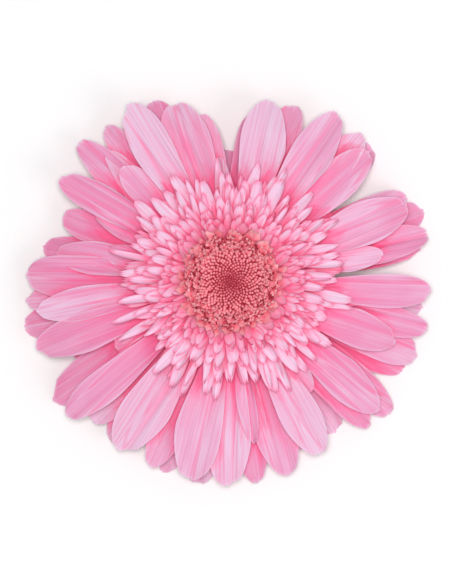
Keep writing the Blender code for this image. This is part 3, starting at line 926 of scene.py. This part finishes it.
def spokes(axis, count):
    """Unit vectors square to an axis, at an even pitch round it."""
    axis = axis.normalized()
    first = axis.orthogonal().normalized()
    second = axis.cross(first)
    turns = [2 * math.pi * k / count for k in range(count)]
    return [first * math.cos(turn) + second * math.sin(turn) for turn in turns]


def add_tube(surface, root, axis, length, size, tint):
    """The flared tube of an open disc floret, with its throat."""
    rings = []
    for share, radius, shade in TUBE_PROFILE:
        ring = []
        for spoke in spokes(axis, OPEN_FLORET_SIDES):
            place = root + axis * length * share + spoke * size / 2 * radius
            ring.append(surface.point(place, along=shade, tint=tint))
        rings.append(ring)
    foot = surface.point(root, tint=tint)
    throat = surface.point(root + axis * length * THROAT, tint=tint)
    surface.closed(rings, foot, throat)


def add_open_floret(surface, root, tip, size, draw):
    """An open disc floret: a flared tube, a broad outer lip that rolls out, and two small inner lobes."""
    axis = (tip - root).normalized()
    length = (tip - root).length
    tint = draw.uniform(0, 0.25)
    add_tube(surface, root, axis, length, size, tint)
    outward = Matrix.Rotation(draw.uniform(-0.8, 0.8), 3, "Z") @ Vector((tip.x, tip.y, 0)).normalized()
    side = axis.cross(outward).normalized()
    out = side.cross(axis)
    rim = root + axis * length * 0.8
    lip_length = size * draw.uniform(0.55, 0.9)
    lip_width = size * draw.uniform(0.7, 1.05)
    bend = draw.uniform(20, 70), draw.uniform(80, 140)
    add_lip(surface, rim + out * size * 0.15, axis, out, lip_length, lip_width, bend, tint, draw)
    for hand in (-1, 1):
        inward = (side * hand * draw.uniform(0.3, 0.9) - out).normalized()
        lobe_length = size * draw.uniform(0.35, 0.6)
        lobe_width = size * draw.uniform(0.25, 0.4)
        bend = 0, draw.uniform(60, 190)
        add_lip(surface, rim + inward * size * 0.15, axis, inward, lobe_length, lobe_width, bend, tint, draw)


def add_lip(surface, root, up, out, length, width, bend, tint, draw):
    """A crowned, crinkled lip of an open disc floret, which rolls outward from one angle to another."""
    side = out.cross(up)
    row_count, column_count = LIP_GRID
    step = length / (row_count - 1)
    crown = width * draw.uniform(0.12, 0.38)
    crinkle = width * 0.05
    phase = draw.uniform(0, 2 * math.pi)
    middle = root
    rows = []
    for i in range(row_count):
        along = i / (row_count - 1)
        turn = math.radians(bend[0] + (bend[1] - bend[0]) * along)
        onward = up * math.cos(turn) + out * math.sin(turn)
        normal = side.cross(onward)
        half = width / 2 * (0.5 + 0.5 * smooth(along * 1.6)) * math.sqrt(1 - 0.94 * along**4)
        row = []
        for j in range(column_count):
            across = 2 * j / (column_count - 1) - 1
            rise = crinkle * math.sin(phase + 6 * across + 3 * along) - crown * across * across
            place = middle + side * across * half + normal * rise
            row.append((place, normal, 0.25 + 0.75 * along, across, 0.0, across))
        rows.append(row)
        middle = middle + onward * step
    surface.blade(rows, LIP_THICKNESS, tint)


def add_bud(surface, root, tip, width, tint, shade=1.0, sides=BUD_SIDES):
    """A closed bud or a style: a long rounded grain from root to tip, darker for a shade below 1."""
    axis = tip - root
    rings = []
    for share, radius in BUD_PROFILE:
        ring = []
        for spoke in spokes(axis, sides):
            place = root + axis * share + spoke * radius * width / 2
            ring.append(surface.point(place, along=share * shade, tint=tint))
        rings.append(ring)
    foot = surface.point(root, along=0, tint=tint)
    surface.closed(rings, foot, surface.point(tip, along=shade, tint=tint))


def make_disc(material):
    """The coral disc: open florets in rings at the edge, closed buds inside, dark in the middle."""
    draw = random.Random(DISC_SEED)
    surface = Surface()
    profile = [(DISC_CORE_RADIUS - 0.8, DISC_BASE)]
    profile += [(DISC_CORE_RADIUS * share, disc_top(DISC_CORE_RADIUS * share)) for share in DISC_SHARES]
    surface.turned(profile, DISC_SIDES)
    for ring in OPEN_RINGS:
        add_open_ring(surface, ring, draw)
    for index in range(BUD_COUNT):
        share = ((index + 0.5) / BUD_COUNT) ** BUD_CROWDING
        azimuth = index * GOLDEN_ANGLE + draw.uniform(-2, 2)
        add_disc_bud(surface, azimuth, BUD_REACH * share, share, draw)
    surface.make("disc", material, "disc_floret", "disc_florets")


def add_open_ring(surface, ring, draw):
    """A ring of open disc florets, some with a style that stands out of the mouth."""
    count, radius, size = ring
    for index in range(count):
        azimuth = (index + draw.uniform(-0.35, 0.35)) * 360 / count
        reach = radius + draw.uniform(-0.7, 0.5)
        height = DISC_EDGE_TOP + draw.uniform(0.1, 1.6)
        root = clock_point(azimuth, radius - 1.4, disc_top(radius) - 0.6)
        tip = clock_point(azimuth + draw.uniform(-6, 6), reach, height)
        add_open_floret(surface, root, tip, size * draw.uniform(0.75, 1.15), draw)
        if draw.random() < STYLE_SHARE:
            style_tip = tip + (tip - root).normalized() * draw.uniform(0.1, 0.6)
            add_bud(surface, root, style_tip, STYLE_WIDTH, draw.uniform(0, 0.3), sides=STYLE_SIDES)


def add_disc_bud(surface, azimuth, radius, share, draw):
    """A closed bud that leans outward, smaller and darker towards the middle of the disc."""
    stray = draw.uniform(-0.15, 0.25) * share
    rise = 0.2 + 0.8 * share * draw.uniform(0.5, 1.5)
    root = clock_point(azimuth, radius * 0.98, disc_top(radius) - 0.5)
    tip = clock_point(azimuth + draw.uniform(-2, 2), radius + 0.7 * share + stray, disc_top(radius) + rise)
    width = (0.46 + 0.44 * share) * draw.uniform(0.85, 1.2)
    tint = max(0.0, 0.75 - 1.8 * share) + draw.uniform(0, 0.15)
    add_bud(surface, root, tip, width, min(tint, 1.0), shade=0.5 + 0.5 * share)


def make_involucre(material):
    """The green cup with its rows of pointed bracts, and a lower row in the gaps of each."""
    draw = random.Random(BRACT_SEED)
    surface = Surface()
    surface.turned(CUP_PROFILE, CUP_SIDES, ribs=30, rib_depth=RIB_DEPTH, tint=0.4)
    for row in BRACT_ROWS:
        lower = row._replace(
            offset=row.offset + 0.5,
            root_height=row.root_height - BRACT_STEP_DOWN,
            tip_height=row.tip_height - BRACT_STEP_DOWN,
            tip_radius=cup_radius(row.tip_height - BRACT_STEP_DOWN) + 0.5,
        )
        for each in (row, lower):
            for index in range(each.count):
                azimuth = (index + each.offset + draw.uniform(-0.15, 0.15)) * 360 / each.count
                add_bract(surface, each, azimuth, draw.uniform(-0.5, 0.5), draw)
    surface.make("bracts", material, "bract", "involucre")


def cup_radius(height):
    """The cup's radius at a height."""
    for (low_radius, low), (high_radius, high) in zip(CUP_PROFILE, CUP_PROFILE[1:]):
        if height <= high:
            share = max(0.0, (height - low) / (high - low))
            return low_radius + (high_radius - low_radius) * share
    return CUP_PROFILE[-1][0]


def bract_line(row, azimuth, extra_reach, along):
    """The middle of a bract: it hugs the cup's side and leaves it near its free tip."""
    height = row.root_height + (row.tip_height - row.root_height) * along
    free = row.tip_radius + extra_reach - cup_radius(row.tip_height)
    radius = cup_radius(height) + BRACT_STANDOFF + free * smooth((along - BRACT_FREE) / (1 - BRACT_FREE))
    return clock_point(azimuth, radius, height)


def add_bract(surface, row, azimuth, extra_reach, draw):
    """A pointed bract on the cup's side, keeled and hairy on its outer face."""
    row_count, column_count = BRACT_GRID
    side = clock_point(azimuth + 90, 1, 0)
    rows = []
    for i in range(row_count):
        along = i / (row_count - 1)
        half = row.width / 2 * max(0.02, 1 - max(0, along - 0.35) / 0.65) ** 0.8
        middle = bract_line(row, azimuth, extra_reach, along)
        slope = bract_line(row, azimuth, extra_reach, along + 0.02) - middle
        normal = side.cross(slope).normalized()
        line = []
        for j in range(column_count):
            across = 2 * j / (column_count - 1) - 1
            keel = BRACT_KEEL * (1 - abs(across)) * (1 - along * 0.5)
            place = middle + side * across * half - normal * keel
            line.append((place, normal, along, across, 0.0, across))
        rows.append(line)
    surface.blade(rows, BRACT_THICKNESS, 0.1 * draw.random(), tone=0.6)
    for _ in range(HAIRS_PER_BRACT):
        place, normal = draw.choice(draw.choice(rows[2:-1])[1:-1])[:2]
        lean = clock_point(azimuth, 1, 1) * draw.uniform(0.1, 0.3) + side * draw.uniform(-0.3, 0.3)
        add_hair(surface, place, place + (lean - normal) * draw.uniform(0.7, 1.1))


def add_hair(surface, root, tip):
    """A hair: a thin spike on three sides."""
    ring = []
    for spoke in spokes(tip - root, 3):
        ring.append(surface.point(root + spoke * HAIR_WIDTH / 2, along=HAIR_SHADE))
    surface.cap(ring, surface.point(tip, along=HAIR_SHADE))
    surface.faces.append(ring[::-1])


def make_stem(material):
    """The downy stub of stem, ribbed lengthwise, with its cut face on the floor."""
    surface = Surface()
    profile = (
        (STEM_RADIUS - 0.25, FLOOR_CLEARANCE),
        (STEM_RADIUS, 0.3),
        (STEM_RADIUS, STEM_LENGTH * 0.45),
        (STEM_RADIUS * STEM_FLARE, STEM_LENGTH),
    )
    surface.turned(profile, STEM_SIDES, ribs=12, rib_depth=RIB_DEPTH)
    draw = random.Random(STEM_SEED)
    for _ in range(STEM_HAIRS):
        azimuth, height = draw.uniform(0, 360), draw.uniform(0.4, STEM_LENGTH - 0.2)
        tip_height = height + draw.uniform(-0.2, 0.3)
        root = clock_point(azimuth, STEM_RADIUS - 0.2, height)
        add_hair(surface, root, clock_point(azimuth, STEM_RADIUS + draw.uniform(0.5, 0.9), tip_height))
    surface.make("stem_stub", material, "stem", "cut_stem")


# Floor, light and camera


def make_floor():
    """The white surface that the bloom lies on."""
    mesh = bpy.data.meshes.new("floor")
    corners = [(FLOOR_HALF * x, FLOOR_HALF * y, 0) for x, y in ((-1, -1), (1, -1), (1, 1), (-1, 1))]
    mesh.from_pydata(corners, [], [(0, 1, 2, 3)])
    nodes = Nodes("floor", 0.9)
    grain = nodes.noise(nodes.place(), 40.0, 3.0)
    mesh.materials.append(nodes.finish(nodes.mix(grain, *FLOOR_TONES)))
    floor = bpy.data.objects.new("floor", mesh)
    bpy.context.scene.collection.objects.link(floor)


def make_light():
    """White light from all round, a softbox overhead and a weak light from the lower right."""
    world = bpy.data.worlds.new("studio")
    world.use_nodes = True
    background = world.node_tree.nodes["Background"]
    background.inputs["Color"].default_value = (1, 1, 1, 1)
    background.inputs["Strength"].default_value = WORLD_STRENGTH
    bpy.context.scene.world = world
    for name, place, size, power in LIGHTS:
        data = bpy.data.lights.new(name, "AREA")
        data.size = size
        data.energy = power
        light = bpy.data.objects.new(name, data)
        light.location = place
        light.rotation_euler = place.to_track_quat("Z", "Y").to_euler()
        bpy.context.scene.collection.objects.link(light)


def make_camera():
    """Straight above the bloom, with the bloom's outline in the middle of the picture."""
    data = bpy.data.cameras.new("camera")
    data.sensor_width = SENSOR
    view_height = VIEW_WIDTH * IMAGE_SIZE[1] / IMAGE_SIZE[0]
    data.lens = SENSOR * (CAMERA_HEIGHT - PETAL_HEIGHT) / view_height
    data.clip_start = CLIP_START
    camera = bpy.data.objects.new("camera", data)
    camera.location = (0, 0, CAMERA_HEIGHT)
    bpy.context.scene.collection.objects.link(camera)
    bpy.context.scene.camera = camera


make_camera()
make_floor()
make_light()
bpy.context.scene.view_settings.view_transform = "Standard"
make_petals()
make_disc(plant_material("disc_flesh", DISC_STOPS, 0.65, 900.0))
make_involucre(plant_material("bract_green", BRACT_STOPS, 0.55, 700.0))
make_stem(plant_material("stem_green", STEM_STOPS, 0.5, 700.0))
